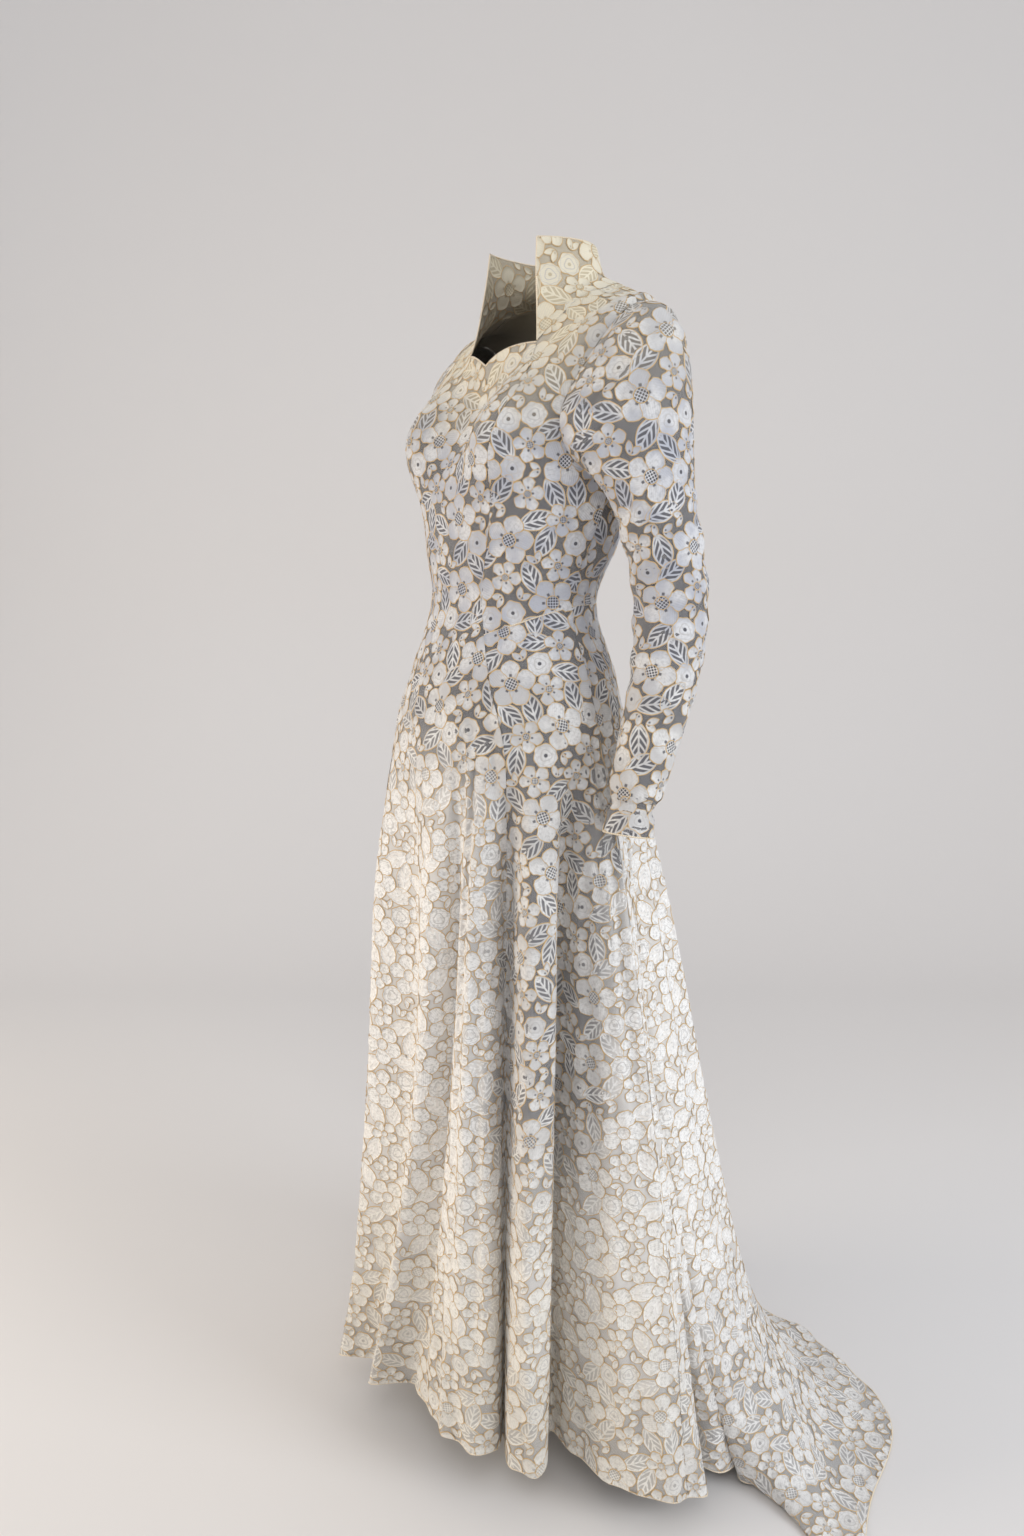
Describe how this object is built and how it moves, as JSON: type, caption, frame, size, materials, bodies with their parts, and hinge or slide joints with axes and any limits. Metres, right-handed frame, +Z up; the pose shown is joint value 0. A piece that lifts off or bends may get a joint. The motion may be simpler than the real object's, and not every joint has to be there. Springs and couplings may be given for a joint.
{
  "type": "lace gown",
  "caption": "Long ivory floral lace gown in a worn pose: stand-up collar open in front, sweetheart neckline, long fitted sleeves, flared skirt and a short train swept aside.",
  "frame": {"origin": "mount shoulders: the middle of the shoulder line, inside the gown, where the wearer's shoulders hold it", "axes": "+Z up, -Y towards the gown's front, +X towards the wearer's left"},
  "size_m": [0.7479, 0.6656, 1.5683],
  "materials": {
    "lace_front": "matt ivory cotton lace",
    "lace_bodice": "matt ivory cotton lace",
    "lace_collar": "matt ivory cotton lace, warmer in tone",
    "lace_sleeve": "matt ivory cotton lace",
    "lace_skirt": "matt ivory cotton lace",
    "lace_placket": "matt ivory cotton lace strip",
    "net": "fine matt net ground",
    "cord": "thin tan outlining thread",
    "rolled_hem": "narrow rolled edge"
  },
  "bodies": {
    "root": {"front_panel": "lace_front", "side_front_left": "lace_bodice", "side_front_right": "lace_bodice", "back_bodice_left": "lace_bodice", "back_bodice_right": "lace_bodice", "collar_left": "lace_collar", "collar_right": "lace_collar", "sleeve_left": "lace_sleeve", "sleeve_right": "lace_sleeve", "skirt_side_left": "lace_skirt", "skirt_side_right": "lace_skirt", "skirt_back_left": "lace_skirt", "skirt_back_right": "lace_skirt", "back_placket": "lace_placket"}
  },
  "joints": []
}
